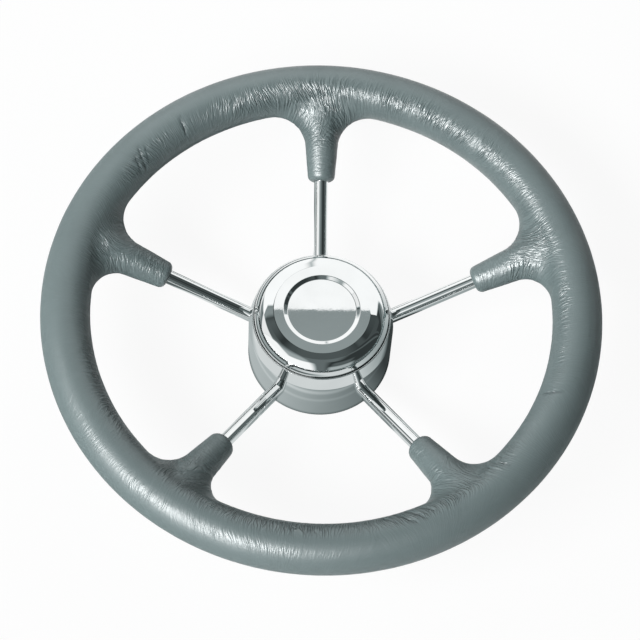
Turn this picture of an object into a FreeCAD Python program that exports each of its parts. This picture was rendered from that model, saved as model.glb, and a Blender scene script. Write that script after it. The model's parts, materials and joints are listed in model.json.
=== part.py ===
import FreeCAD, Part
import math
import os

# Five-spoke boat steering wheel: a soft moulded grip on a welded stainless steel frame.
# Lengths are millimetres and angles are degrees. Z is the wheel's turning axis and points at
# the person who steers. The origin is the middle of the hub's back face, and the first spoke
# points along +Y.

# Whole wheel
WHEEL_DIAMETER = 350.0
GRIP_THICKNESS = 31.2
DISH = 58.5                       # hub's back face to the middle plane of the grip
SPOKE_COUNT = 5
FIRST_SPOKE_ANGLE = 90.0

# Steel frame
CORE_DIAMETER = 10.0              # rod ring inside the grip
SPOKE_DIAMETER = 9.0
SPOKE_HEIGHT_AT_DRUM = 20.6       # spoke's axis where it enters the drum's outside
SPOKE_HOLE_CLEARANCE = 0.1

# Sleeves of the grip, which run down over the spokes
SLEEVE_END_DISTANCE = 101.6       # sleeve's end from the wheel's axis
SLEEVE_END_DIAMETER = 17.0
SLEEVE_ROOT_DIAMETER = 28.0       # where the sleeve's cone meets the middle of the rim
SLEEVE_END_ROUNDING = 4.5
SLEEVE_BLEND = 20.0               # fillet between sleeve and rim

# Drum: the outside of the hub
DRUM_DIAMETER = 91.0
DRUM_WALL = 2.0
DRUM_HEIGHT = 49.4
DRUM_CREASE_HEIGHT = 38.3         # where the straight wall turns into the tapered band
DRUM_CREASE_ROUNDING = 1.5
DRUM_FOOT_ROUNDING = 0.8
DRUM_LIP_WIDTH = 1.0
DRUM_LIP_ROUNDING = 0.4
LEDGE_WIDTH = 2.4                 # inner step that the cap stands on
LEDGE_THICKNESS = 2.0

# Base plate, welded into the foot of the drum
PLATE_THICKNESS = 5.0
PLATE_CLEARANCE = 0.05

# Boss with the tapered bore for the helm shaft
BOSS_DIAMETER = 38.0
BOSS_HEIGHT = 30.0
BOSS_SPIGOT_DIAMETER = 32.0
BOSS_CHAMFER = 1.2
BORE_LARGE_DIAMETER = 19.05       # three quarters of an inch at the back face
BORE_TAPER = 1.0 / 12.0           # on the diameter
KEYWAY_WIDTH = 4.76               # three sixteenths of an inch
KEYWAY_DEPTH = 2.4

# Centre cap
CAP_DIAMETER = 84.4
CAP_CLEARANCE = 0.25              # between the cap's skirt and the drum's mouth
CAP_FACE_HEIGHT = 59.5
CAP_FLAT_DIAMETER = 60.4
CAP_SHOULDER_FALL = 11.0          # slope of the shoulder below the flat face
CAP_SHOULDER_ROUNDING = 11.5
CAP_INSIDE_ROUNDING = 6.5         # inside corner under the shoulder
CAP_CREASE_ROUNDING = 2.5
CAP_WALL = 1.8
CAP_SKIRT_WALL = 2.8
CAP_SKIRT_DEPTH = 7.7             # how far the skirt goes down into the drum
RECESS_DIAMETER = 47.5
RECESS_WALL_WIDTH = 2.15
RECESS_DEPTH = 1.2
RECESS_ROUNDING = 0.6

# Rubber ring that grips the cap in the drum's mouth
RING_THICKNESS = 1.8
RING_GROOVE_WIDTH = 2.0
RING_HEIGHT_ABOVE_LEDGE = 3.6

# Radii and places that follow from the sizes above
GRIP_RADIUS = GRIP_THICKNESS / 2.0
RIM_RADIUS = WHEEL_DIAMETER / 2.0 - GRIP_RADIUS
DRUM_RADIUS = DRUM_DIAMETER / 2.0
BOSS_RADIUS = BOSS_DIAMETER / 2.0
SPOKE_RADIUS = SPOKE_DIAMETER / 2.0
SPOKE_SLOPE = math.atan2(DISH - SPOKE_HEIGHT_AT_DRUM, RIM_RADIUS - DRUM_RADIUS)
CAP_RADIUS = CAP_DIAMETER / 2.0
MOUTH_RADIUS = CAP_RADIUS + CAP_CLEARANCE
LEDGE_HEIGHT = DRUM_HEIGHT - CAP_SKIRT_DEPTH
RING_HEIGHT = LEDGE_HEIGHT + RING_HEIGHT_ABOVE_LEDGE

ORIGIN = FreeCAD.Vector(0, 0, 0)
UP = FreeCAD.Vector(0, 0, 1)
FULL_TURN = 360.0
OVERRUN = 2.0                     # how far a cutting shape runs past what it cuts
SAME_POINT = 0.000001             # points closer than this are one point


def on_section(radius, height):
    """A point of the half section that is turned about the wheel's axis."""
    return FreeCAD.Vector(radius, 0, height)


def rounded_corner(before, corner, after, rounding):
    """Start, middle and end of the arc that rounds a corner between two straight runs."""
    towards_before = (before - corner).normalize()
    towards_after = (after - corner).normalize()
    half_angle = towards_before.getAngle(towards_after) / 2.0
    reach = rounding / math.tan(half_angle)
    middle_line = (towards_before + towards_after).normalize()
    middle = corner + middle_line * (rounding / math.sin(half_angle) - rounding)
    return corner + towards_before * reach, middle, corner + towards_after * reach


def outline(corners):
    """Closed wire through (radius, height, rounding) corners, each rounded by its own radius."""
    points = [on_section(radius, height) for radius, height, _ in corners]
    edges = []
    pen = None
    count = len(corners)
    for index in range(count + 1):
        here = points[index % count]
        rounding = corners[index % count][2]
        if rounding > 0:
            before = points[(index - 1) % count]
            after = points[(index + 1) % count]
            start, middle, end = rounded_corner(before, here, after, rounding)
        else:
            start, middle, end = here, here, here
        if pen is not None and pen.distanceToPoint(start) > SAME_POINT:
            edges.append(Part.makeLine(pen, start))
        if rounding > 0 and index < count:
            edges.append(Part.Arc(start, middle, end).toShape())
        pen = end if index < count else start
    return Part.Wire(edges)


def turned(corners):
    """Solid turned about the wheel's axis from a half section."""
    return Part.Face(outline(corners)).revolve(ORIGIN, UP, FULL_TURN)


def spoke_angles():
    """Directions of the spokes round the wheel's axis."""
    step = FULL_TURN / SPOKE_COUNT
    return [FIRST_SPOKE_ANGLE + step * number for number in range(SPOKE_COUNT)]


def spoke_point(distance):
    """Point of the first spoke's axis at a distance from the wheel's axis, before it is turned."""
    height = DISH - (RIM_RADIUS - distance) * math.tan(SPOKE_SLOPE)
    return on_section(distance, height)


def spoke_direction():
    """Direction of that axis, outwards and up to the rim."""
    return FreeCAD.Vector(math.cos(SPOKE_SLOPE), 0, math.sin(SPOKE_SLOPE))


def turned_to(shape, angle):
    """Copy of a shape turned about the wheel's axis."""
    copy = shape.copy()
    copy.rotate(ORIGIN, UP, angle)
    return copy


def rod_along_spoke(radius, first_distance, last_distance):
    """Round rod on the spoke's axis between two distances from the wheel's axis."""
    start = spoke_point(first_distance)
    length = start.distanceToPoint(spoke_point(last_distance))
    return Part.makeCylinder(radius, length, start, spoke_direction())


def ring_sector(section_radius):
    """One spoke's share of a round ring in the grip's middle plane, centred on the first spoke."""
    share = FULL_TURN / SPOKE_COUNT
    middle = on_section(0, DISH)
    sector = Part.makeTorus(RIM_RADIUS, section_radius, middle, UP, 0, FULL_TURN, share)
    sector.rotate(ORIGIN, UP, -share / 2.0)
    return sector


def sleeve():
    """Tapered sleeve with a rounded end, on the first spoke's axis and into the rim."""
    start = spoke_point(SLEEVE_END_DISTANCE)
    length = start.distanceToPoint(spoke_point(RIM_RADIUS))
    end_radius = SLEEVE_END_DIAMETER / 2.0
    root_radius = SLEEVE_ROOT_DIAMETER / 2.0
    cone = Part.makeCone(end_radius, root_radius, length, start, spoke_direction())
    end_edge = min(cone.Edges, key=lambda edge: edge.CenterOfMass.distanceToPoint(start))
    return cone.makeFillet(SLEEVE_END_ROUNDING, [end_edge])


def is_seam_line(edge, sleeve_end):
    """True for the curves where a sleeve runs into the rim."""
    is_plain_curve = isinstance(edge.Curve, (Part.Circle, Part.Line))
    is_far = edge.CenterOfMass.distanceToPoint(sleeve_end) > SLEEVE_BLEND
    return is_far and not is_plain_curve


def grip():
    """Soft moulding: rim and sleeves in one piece, with channels where the frame runs."""
    share = ring_sector(GRIP_RADIUS).fuse(sleeve())
    sleeve_end = spoke_point(SLEEVE_END_DISTANCE)
    seam_lines = [edge for edge in share.Edges if is_seam_line(edge, sleeve_end)]
    share = share.makeFillet(SLEEVE_BLEND, seam_lines)
    frame = ring_sector(CORE_DIAMETER / 2.0).fuse(
        rod_along_spoke(SPOKE_RADIUS, SLEEVE_END_DISTANCE - OVERRUN, RIM_RADIUS))
    share = share.cut(frame)
    shares = [turned_to(share, angle) for angle in spoke_angles()]
    return shares[0].fuse(shares[1:])


def rim_core():
    """Steel ring inside the grip."""
    return Part.makeTorus(RIM_RADIUS, CORE_DIAMETER / 2.0, on_section(0, DISH), UP)


def spoke():
    """Straight round rod, its ends coped to sit on the boss and on the rim's core."""
    rod = rod_along_spoke(SPOKE_RADIUS, BOSS_RADIUS - SPOKE_RADIUS, RIM_RADIUS)
    boss_body = Part.makeCylinder(BOSS_RADIUS, DISH)
    return rod.cut([boss_body, rim_core()])


def drum():
    """Turned drum: straight wall, tapered band, rolled lip, and an inner ledge for the cap."""
    lip_radius = MOUTH_RADIUS + DRUM_LIP_WIDTH
    wall_inside = DRUM_RADIUS - DRUM_WALL
    ledge_inside = MOUTH_RADIUS - LEDGE_WIDTH
    ledge_underside = LEDGE_HEIGHT - LEDGE_THICKNESS
    shell = turned([
        (wall_inside, 0, 0),
        (DRUM_RADIUS, 0, DRUM_FOOT_ROUNDING),
        (DRUM_RADIUS, DRUM_CREASE_HEIGHT, DRUM_CREASE_ROUNDING),
        (lip_radius, DRUM_HEIGHT, DRUM_LIP_ROUNDING),
        (MOUTH_RADIUS, DRUM_HEIGHT, DRUM_LIP_ROUNDING),
        (MOUTH_RADIUS, LEDGE_HEIGHT, 0),
        (ledge_inside, LEDGE_HEIGHT, 0),
        (ledge_inside, ledge_underside, 0),
        (wall_inside, ledge_underside - (wall_inside - ledge_inside), 0),
    ])
    hole_radius = SPOKE_RADIUS + SPOKE_HOLE_CLEARANCE
    hole = rod_along_spoke(hole_radius, wall_inside - SPOKE_DIAMETER, DRUM_RADIUS + SPOKE_DIAMETER)
    return shell.cut([turned_to(hole, angle) for angle in spoke_angles()])


def base_plate():
    """Flat round plate, flush with the drum's foot, with a hole for the boss's spigot."""
    outside = DRUM_RADIUS - DRUM_WALL - PLATE_CLEARANCE
    hole = BOSS_SPIGOT_DIAMETER / 2.0
    return turned([
        (hole, 0, 0),
        (outside, 0, 0),
        (outside, PLATE_THICKNESS, 0),
        (hole, PLATE_THICKNESS, 0),
    ])


def hub_boss():
    """Boss on the base plate, bored to the helm's taper and cut with its keyway."""
    spigot_radius = BOSS_SPIGOT_DIAMETER / 2.0 - PLATE_CLEARANCE
    large_radius = BORE_LARGE_DIAMETER / 2.0
    small_radius = large_radius - BOSS_HEIGHT * BORE_TAPER / 2.0
    body = turned([
        (large_radius, 0, 0),
        (spigot_radius, 0, 0),
        (spigot_radius, PLATE_THICKNESS, 0),
        (BOSS_RADIUS, PLATE_THICKNESS, 0),
        (BOSS_RADIUS, BOSS_HEIGHT - BOSS_CHAMFER, 0),
        (BOSS_RADIUS - BOSS_CHAMFER, BOSS_HEIGHT, 0),
        (small_radius, BOSS_HEIGHT, 0),
    ])
    keyway = Part.makeBox(KEYWAY_WIDTH, large_radius + KEYWAY_DEPTH, BOSS_HEIGHT + 2.0 * OVERRUN)
    keyway.translate(FreeCAD.Vector(-KEYWAY_WIDTH / 2.0, 0, -OVERRUN))
    keyway.rotate(ORIGIN, UP, FIRST_SPOKE_ANGLE - 90.0)
    return body.cut(keyway)


def centre_cap():
    """Turned cap: flat face with a plain round recess, sloping shoulder and a grooved skirt."""
    recess_floor = CAP_FACE_HEIGHT - RECESS_DEPTH
    recess_radius = RECESS_DIAMETER / 2.0
    flat_radius = CAP_FLAT_DIAMETER / 2.0
    fall = math.tan(math.radians(CAP_SHOULDER_FALL))
    shoulder_height = CAP_FACE_HEIGHT - (CAP_RADIUS - flat_radius) * fall
    skirt_inside = CAP_RADIUS - CAP_SKIRT_WALL
    underside = recess_floor - CAP_WALL
    inside_corner_height = shoulder_height - CAP_WALL
    inside_flat = skirt_inside - (underside - inside_corner_height) / fall
    groove_floor = MOUTH_RADIUS - RING_THICKNESS
    groove_top = RING_HEIGHT + RING_GROOVE_WIDTH / 2.0
    groove_bottom = RING_HEIGHT - RING_GROOVE_WIDTH / 2.0
    return turned([
        (0, underside, 0),
        (0, recess_floor, 0),
        (recess_radius - RECESS_WALL_WIDTH, recess_floor, RECESS_ROUNDING),
        (recess_radius, CAP_FACE_HEIGHT, RECESS_ROUNDING),
        (flat_radius, CAP_FACE_HEIGHT, CAP_CREASE_ROUNDING),
        (CAP_RADIUS, shoulder_height, CAP_SHOULDER_ROUNDING),
        (CAP_RADIUS, groove_top, 0),
        (groove_floor, groove_top, 0),
        (groove_floor, groove_bottom, 0),
        (CAP_RADIUS, groove_bottom, 0),
        (CAP_RADIUS, LEDGE_HEIGHT, 0),
        (skirt_inside, LEDGE_HEIGHT, 0),
        (skirt_inside, inside_corner_height, CAP_INSIDE_ROUNDING),
        (inside_flat, underside, 0),
    ])


def cap_ring():
    """Square-section rubber ring in the cap's groove, touching the drum's mouth."""
    half_height = RING_THICKNESS / 2.0
    inside = MOUTH_RADIUS - RING_THICKNESS
    return turned([
        (inside, RING_HEIGHT - half_height, 0),
        (MOUTH_RADIUS, RING_HEIGHT - half_height, 0),
        (MOUTH_RADIUS, RING_HEIGHT + half_height, 0),
        (inside, RING_HEIGHT + half_height, 0),
    ])


def save(shape, name):
    """Write one sub-part."""
    print(name, shape.isValid(), len(shape.Solids), round(shape.Volume))
    shape.exportStep("parts/" + name + ".step")


def main():
    """Build and write every sub-part of the wheel."""
    os.makedirs("parts", exist_ok=True)
    save(grip(), "grip")
    save(rim_core(), "rim_core")
    for number, angle in enumerate(spoke_angles(), start=1):
        save(turned_to(spoke(), angle), "spoke_" + str(number))
    save(drum(), "hub_drum")
    save(base_plate(), "base_plate")
    save(hub_boss(), "hub_boss")
    save(centre_cap(), "centre_cap")
    save(cap_ring(), "cap_ring")


main()
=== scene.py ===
import json
import math

import bmesh
import bpy
import numpy as np
from mathutils import Matrix, Vector, noise

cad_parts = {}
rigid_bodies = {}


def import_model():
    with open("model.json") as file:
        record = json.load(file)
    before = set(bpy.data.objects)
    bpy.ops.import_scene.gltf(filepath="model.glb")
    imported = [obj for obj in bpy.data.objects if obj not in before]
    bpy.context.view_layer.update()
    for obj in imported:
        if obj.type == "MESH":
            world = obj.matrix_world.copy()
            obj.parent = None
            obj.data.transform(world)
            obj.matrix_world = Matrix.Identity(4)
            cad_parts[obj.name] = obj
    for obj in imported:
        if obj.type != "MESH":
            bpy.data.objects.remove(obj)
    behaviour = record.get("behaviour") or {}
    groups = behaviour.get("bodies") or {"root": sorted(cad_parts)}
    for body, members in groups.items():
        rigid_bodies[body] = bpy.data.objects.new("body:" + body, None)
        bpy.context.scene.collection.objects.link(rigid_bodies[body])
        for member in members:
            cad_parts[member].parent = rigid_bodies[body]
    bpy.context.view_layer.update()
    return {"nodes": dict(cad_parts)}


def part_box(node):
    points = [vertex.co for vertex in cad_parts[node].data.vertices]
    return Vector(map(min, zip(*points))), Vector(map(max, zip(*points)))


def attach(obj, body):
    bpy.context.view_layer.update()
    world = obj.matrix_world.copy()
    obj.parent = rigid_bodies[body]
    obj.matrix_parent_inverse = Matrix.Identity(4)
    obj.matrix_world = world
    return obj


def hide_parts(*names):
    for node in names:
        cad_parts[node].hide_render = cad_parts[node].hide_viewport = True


bl_info = {
    "name": "Boat Steering Wheel",
    "version": (1, 0, 0),
    "blender": (4, 5, 0),
    "location": "3D View > Sidebar > Wheel",
    "description": "Skin, polished hub and rods, and a photo stage for a five-spoke boat wheel",
    "category": "Add Mesh",
}

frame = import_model()

MM = 0.001
TINY = 1e-9
BODY = "root"

# Sizes read from the frame
CORE_LOW, CORE_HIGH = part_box("rim_core")
CORE_RADIUS = (CORE_HIGH.z - CORE_LOW.z) / 2
RIM_HEIGHT = (CORE_HIGH.z + CORE_LOW.z) / 2
RIM_RADIUS = CORE_HIGH.x - CORE_RADIUS
GRIP_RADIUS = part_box("grip")[1].z - RIM_HEIGHT
DRUM_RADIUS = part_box("hub_drum")[1].x
DRUM_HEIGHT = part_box("hub_drum")[1].z
CAP_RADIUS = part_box("centre_cap")[1].x
CAP_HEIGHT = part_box("centre_cap")[1].z
LEDGE_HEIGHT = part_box("centre_cap")[0].z

# Spokes and the sleeves that run down over them
SPOKE_COUNT = 5
FIRST_SPOKE_ANGLE = math.radians(90)
SHARE = 2 * math.pi / SPOKE_COUNT
SPOKE_RADIUS = 4.5 * MM
SPOKE_HEIGHT_AT_DRUM = 20.6 * MM
SPOKE_INNER_END = 18.6 * MM
SPOKE_SLOPE = math.atan2(RIM_HEIGHT - SPOKE_HEIGHT_AT_DRUM, RIM_RADIUS - DRUM_RADIUS)
SLEEVE_END_DISTANCE = 101.6 * MM
SLEEVE_END_RADIUS = 8.5 * MM
SLEEVE_ROOT_RADIUS = 14.0 * MM
SLEEVE_END_ROUNDING = 3.5 * MM
SLEEVE_BLEND = 20.0 * MM

# Turned drum, with the mouth and the ledge that the cap sits in
DRUM_WALL = 2.0 * MM
DRUM_FOOT_ROUNDING = 0.8 * MM
DRUM_BAND_ROUNDING = 1.5 * MM
LIP_WIDTH = 1.0 * MM
LIP_ROUNDING = 0.4 * MM
LEDGE_WIDTH = 2.4 * MM
LEDGE_THICKNESS = 2.0 * MM
CAP_CLEARANCE = 0.25 * MM

# Centre cap
CAP_FLAT_RADIUS = 30.2 * MM
CAP_FLAT_ROUNDING = 2.5 * MM
CAP_FALL = math.radians(11)
CAP_SHOULDER_ROUNDING = 10.0 * MM
CAP_THICKNESS = 1.8 * MM
CAP_INNER_ROUNDING = 6.5 * MM
SKIRT_THICKNESS = 2.8 * MM
RECESS_DEPTH = 1.2 * MM
RECESS_SLOPE = 2.15 * MM
RECESS_ROUNDING = 0.6 * MM
RING_ABOVE_LEDGE = 3.6 * MM
RING_GROOVE_DEPTH = 1.8 * MM
RING_GROOVE_WIDTH = 2.0 * MM


class GripSettings(bpy.types.PropertyGroup):
    """Sizes and colours of the soft grip."""
    facet: bpy.props.FloatProperty(
        name="Facet", description="Edge length of the skin's faces",
        default=1.62 * MM, min=0.8 * MM, max=5 * MM, unit="LENGTH", precision=5)
    crease_depth: bpy.props.FloatProperty(
        name="Crease depth", description="Depth of the fine creases in the skin",
        default=0.33 * MM, min=0, max=1 * MM, unit="LENGTH", precision=5)
    fine_depth: bpy.props.FloatProperty(
        name="Fine depth", description="Depth of the finest creases, which only the material shows",
        default=0.48 * MM, min=0, max=1 * MM, unit="LENGTH", precision=5)
    colour: bpy.props.FloatVectorProperty(
        name="Colour", description="Colour of the skin",
        default=(0.150, 0.196, 0.199), min=0, max=1, subtype="COLOR")
    # Colour of the painted shade at the bottoms of the creases
    crease_shade_colour: bpy.props.FloatVectorProperty(
        name="Crease shade colour", description="Colour of the painted shade at the bottom of a crease",
        default=(0.075, 0.106, 0.109), min=0, max=1, subtype="COLOR")
    roughness: bpy.props.FloatProperty(
        name="Roughness", description="Roughness of the skin",
        default=0.36, min=0, max=1, subtype="FACTOR")


class SteelSettings(bpy.types.PropertyGroup):
    """Finish of the stainless steel."""
    colour: bpy.props.FloatVectorProperty(
        name="Colour", description="Colour of the polished steel",
        default=(0.80, 0.82, 0.82), min=0, max=1, subtype="COLOR")
    roughness: bpy.props.FloatProperty(
        name="Roughness", description="Roughness of the polished steel",
        default=0.009, min=0, max=1, subtype="FACTOR")
    turned_colour: bpy.props.FloatVectorProperty(
        name="Turned colour", description="Colour of the turned, unpolished steel",
        default=(0.56, 0.57, 0.57), min=0, max=1, subtype="COLOR")
    ring_colour: bpy.props.FloatVectorProperty(
        name="Ring colour", description="Colour of the cap's rubber ring",
        default=(0.018, 0.018, 0.018), min=0, max=1, subtype="COLOR")


class HubSettings(bpy.types.PropertyGroup):
    """Sizes of the turned hub."""
    steps: bpy.props.IntProperty(
        name="Steps", description="Faces round the drum and the cap",
        default=256, min=48, max=720)
    wall_height: bpy.props.FloatProperty(
        name="Wall height", description="Height where the drum's straight wall meets its band",
        default=38.3 * MM, min=20 * MM, max=45 * MM, unit="LENGTH", precision=5)
    recess_diameter: bpy.props.FloatProperty(
        name="Recess diameter", description="Diameter of the plain recess in the cap",
        default=47.5 * MM, min=20 * MM, max=58 * MM, unit="LENGTH", precision=5)


class StageSettings(bpy.types.PropertyGroup):
    """Camera, lamps and floor."""
    lens: bpy.props.FloatProperty(
        name="Lens", description="Focal length of the camera in millimetres",
        default=154.06, min=20, max=400)
    camera_place: bpy.props.FloatVectorProperty(
        name="Camera place", description="Where the camera stands",
        default=(-0.046427, -0.752615, 1.588142), subtype="XYZ", unit="LENGTH")
    camera_aim: bpy.props.FloatVectorProperty(
        name="Camera aim", description="Point that the camera looks at",
        default=(-0.001217, -0.006894, 0.0585), subtype="XYZ", unit="LENGTH")
    camera_roll: bpy.props.FloatProperty(
        name="Camera roll", description="Roll of the camera about its line of sight",
        default=math.radians(3.956), subtype="ANGLE", unit="ROTATION")
    key_power: bpy.props.FloatProperty(
        name="Key lamp", description="Power of the soft key lamp in watts",
        default=688.0, min=0, max=2000)
    fill_power: bpy.props.FloatProperty(
        name="Fill lamp", description="Power of the small fill lamp behind the wheel in watts",
        default=0.9, min=0, max=200)
    sheen_power: bpy.props.FloatProperty(
        name="Sheen lamp", description="Power in watts of the lamp that only the skin's sheen shows",
        default=1220.0, min=0, max=3000)
    ambient: bpy.props.FloatVectorProperty(
        name="Ambient", description="Colour of the light from all round",
        default=(0.02, 0.02, 0.02), min=0, max=1, subtype="COLOR")
    floor_colour: bpy.props.FloatVectorProperty(
        name="Floor colour", description="Colour of the pale floor",
        default=(0.80, 0.82, 0.82), min=0, max=1, subtype="COLOR")
    floor_near_light: bpy.props.FloatProperty(
        name="Near floor", description="How light the floor by the hub looks in the steel",
        default=0.33, min=0, max=2)
    floor_far_light: bpy.props.FloatProperty(
        name="Far floor", description="How light the open floor looks in the steel",
        default=0.80, min=0, max=2)
    shade_tint: bpy.props.FloatVectorProperty(
        name="Shade tint", description="Tint of the studio's shaded parts",
        default=(0.80, 0.99, 1.0), min=0, max=1, subtype="COLOR")


# Meshes

ARC_STEP = math.radians(5)
# Long straight runs of a profile have a point this near to each end, which keeps them flat
SUPPORT = 0.15 * MM
SHORTEST_SUPPORTED = 4 * SUPPORT
TURNED_EDGE_ANGLE = math.radians(32)


def add_piece(name, mesh, material, slot, *nodes):
    """Object for a mesh, riding on the wheel and standing for CAD nodes."""
    mesh.materials.clear()
    mesh.materials.append(material)
    piece = bpy.data.objects.new(name, mesh)
    bpy.context.scene.collection.objects.link(piece)
    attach(piece, BODY)
    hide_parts(*nodes)
    return piece


def mesh_from(name, points, faces, sharp_angle=None):
    """Smooth mesh, with edges sharper than an angle kept sharp."""
    mesh = bpy.data.meshes.new(name)
    mesh.from_pydata([tuple(point) for point in points], [], faces)
    if mesh.validate():
        raise RuntimeError("the mesh of " + name + " isn't sound")
    mesh.shade_smooth()
    if sharp_angle is not None:
        mesh.set_sharp_from_angle(angle=sharp_angle)
    return mesh


def rounded_profile(corners):
    """Points of a closed half section through (radius, height, rounding) corners."""
    spots = [Vector((radius, height)) for radius, height, _ in corners]
    count = len(corners)
    runs = []
    for index, (_, _, rounding) in enumerate(corners):
        corner = spots[index]
        if rounding <= 0:
            runs.append([corner])
            continue
        before = (spots[index - 1] - corner).normalized()
        after = (spots[(index + 1) % count] - corner).normalized()
        half = before.angle(after) / 2
        reach = rounding / math.tan(half)
        middle = corner + (before + after).normalized() * (rounding / math.sin(half))
        start = corner + before * reach - middle
        end = corner + after * reach - middle
        turn = start.angle_signed(end)
        steps = max(3, round(abs(turn) / ARC_STEP))
        arc = []
        for step in range(steps + 1):
            arc.append(middle + Matrix.Rotation(-turn * step / steps, 2) @ start)
        runs.append(arc)
    points = []
    for index, run in enumerate(runs):
        points.extend(run)
        last, following = run[-1], runs[(index + 1) % count][0]
        gap = (following - last).length
        if gap > SHORTEST_SUPPORTED:
            points.append(last.lerp(following, SUPPORT / gap))
            points.append(following.lerp(last, SUPPORT / gap))
    return points


def turned_mesh(name, corners, steps):
    """Solid turned about the wheel's axis from a closed half section."""
    profile = rounded_profile(corners)
    angles = np.linspace(0, 2 * math.pi, steps, endpoint=False)
    points, rings = [], []
    for radius, height in profile:
        first = len(points)
        if radius < TINY:
            points.append((0, 0, height))
            rings.append([first] * steps)
        else:
            points.extend((radius * math.cos(a), radius * math.sin(a), height) for a in angles)
            rings.append(list(range(first, first + steps)))
    faces = []
    for index, ring in enumerate(rings):
        following = rings[(index + 1) % len(rings)]
        for step in range(steps):
            beside = (step + 1) % steps
            face = [ring[step], ring[beside], following[beside], following[step]]
            face = [v for n, v in enumerate(face) if v != face[n - 1]]
            if len(face) > 2:
                faces.append(face)
    return mesh_from(name, points, faces, TURNED_EDGE_ANGLE)


# Skin of the grip

SLEEVE_START = np.array((
    SLEEVE_END_DISTANCE, 0.0,
    RIM_HEIGHT - (RIM_RADIUS - SLEEVE_END_DISTANCE) * math.tan(SPOKE_SLOPE)))
SLEEVE_AXIS = np.array((math.cos(SPOKE_SLOPE), 0.0, math.sin(SPOKE_SLOPE)))
SLEEVE_LENGTH = (RIM_RADIUS - SLEEVE_END_DISTANCE) / math.cos(SPOKE_SLOPE)
SLEEVE_FLARE = math.atan2(SLEEVE_ROOT_RADIUS - SLEEVE_END_RADIUS, SLEEVE_LENGTH)
BLEND_STEPS = 12
BLEND_REACH = 1.4 * SLEEVE_BLEND

# Filling of the frame's channels, before the skin is meshed anew
CORE_PLUG_RADIUS = CORE_RADIUS + 1.0 * MM
CORE_PLUG_SIDES = 16
CORE_PLUG_STEPS = 128
ROD_PLUG_RADIUS = SPOKE_RADIUS + 0.8 * MM
ROD_PLUG_SIDES = 32


def turned_points(points, angles):
    """Points turned about the wheel's axis, each by its own angle."""
    cos, sin = np.cos(angles), np.sin(angles)
    x = points[:, 0] * cos - points[:, 1] * sin
    y = points[:, 0] * sin + points[:, 1] * cos
    return np.stack([x, y, points[:, 2]], 1)


def nearest_spoke(points):
    """Angle of the spoke that each point is nearest to."""
    angles = np.arctan2(points[:, 1], points[:, 0]) - FIRST_SPOKE_ANGLE
    return np.round(angles / SHARE) * SHARE + FIRST_SPOKE_ANGLE


def ring_skin(points):
    """Distance to the round rim and the direction away from it."""
    plan = np.hypot(points[:, 0], points[:, 1])
    out = plan - RIM_RADIUS
    up = points[:, 2] - RIM_HEIGHT
    reach = np.hypot(out, up)
    away = np.stack([out * points[:, 0] / plan, out * points[:, 1] / plan, up], 1)
    return reach - GRIP_RADIUS, away / reach[:, None]


def sleeve_skin(points):
    """Distance to a sleeve that lies along +X, with its rounded end."""
    from_end = points - SLEEVE_START
    along = from_end @ SLEEVE_AXIS
    off = from_end - along[:, None] * SLEEVE_AXIS
    reach = np.linalg.norm(off, axis=1)
    outward = off / np.maximum(reach, TINY)[:, None]
    cos, sin = math.cos(SLEEVE_FLARE), math.sin(SLEEVE_FLARE)
    side = (reach - SLEEVE_END_RADIUS) * cos - along * sin
    side_away = outward * cos - SLEEVE_AXIS * sin
    face = -along
    in_side, in_face = side + SLEEVE_END_ROUNDING, face + SLEEVE_END_ROUNDING
    corner_reach = np.hypot(in_side, in_face)
    corner_away = in_side[:, None] * side_away - in_face[:, None] * SLEEVE_AXIS
    corner = (in_side > 0) & (in_face > 0)
    flat = np.where((side > face)[:, None], side_away, -SLEEVE_AXIS)
    distance = np.where(corner, corner_reach - SLEEVE_END_ROUNDING, np.maximum(side, face))
    away = np.where(corner[:, None], corner_away / corner_reach[:, None], flat)
    return distance, away, along


def blend_skin(points):
    """Distance to the rolled blend of sleeve and rim, its direction, and where it counts."""
    first_guess = 0.6 * SLEEVE_BLEND
    longest_step = 8 * MM
    near_enough = 0.02 * MM
    centre = points + (ring_skin(points)[1] + sleeve_skin(points)[1]) * first_guess
    for _ in range(BLEND_STEPS):
        ring, ring_away = ring_skin(centre)
        sleeve, sleeve_away, along = sleeve_skin(centre)
        seam = np.cross(ring_away, sleeve_away)
        rows = np.stack([ring_away, sleeve_away, seam], 1)
        missing = ((points - centre) * seam).sum(1)
        wanted = np.stack([SLEEVE_BLEND - ring, SLEEVE_BLEND - sleeve, missing], 1)
        step = np.linalg.solve(rows + np.eye(3) * TINY, wanted[:, :, None])[:, :, 0]
        length = np.linalg.norm(step, axis=1, keepdims=True)
        centre += step * np.minimum(1, longest_step / np.maximum(length, TINY))
    back = points - centre
    slant = (ring_away * sleeve_away).sum(1)
    by_ring, by_sleeve = -(back * ring_away).sum(1), -(back * sleeve_away).sum(1)
    inside = (by_ring > slant * by_sleeve) & (by_sleeve > slant * by_ring)
    reach = np.linalg.norm(back, axis=1)
    met = np.abs(ring - SLEEVE_BLEND) + np.abs(sleeve - SLEEVE_BLEND) < near_enough
    return SLEEVE_BLEND - reach, -back / reach[:, None], inside & met & (along < SLEEVE_LENGTH)


def onto_skin(points):
    """Points moved onto the true surface of the grip, and the directions away from it."""
    angles = nearest_spoke(points)
    local = turned_points(points, -angles)
    ring, ring_away = ring_skin(local)
    sleeve, sleeve_away, along = sleeve_skin(local)
    nearer = (sleeve < ring) & (along < SLEEVE_LENGTH)
    distance = np.where(nearer, sleeve, ring)
    away = np.where(nearer[:, None], sleeve_away, ring_away)
    near = (ring < BLEND_REACH) & (sleeve < BLEND_REACH)
    near &= (along > SLEEVE_END_ROUNDING) & (along < SLEEVE_LENGTH)
    blend, blend_away, counts = blend_skin(local[near])
    spots = np.flatnonzero(near)[counts]
    distance[spots] = blend[counts]
    away[spots] = blend_away[counts]
    local = local - away * distance[:, None]
    return turned_points(local, angles), turned_points(away, angles)


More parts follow.
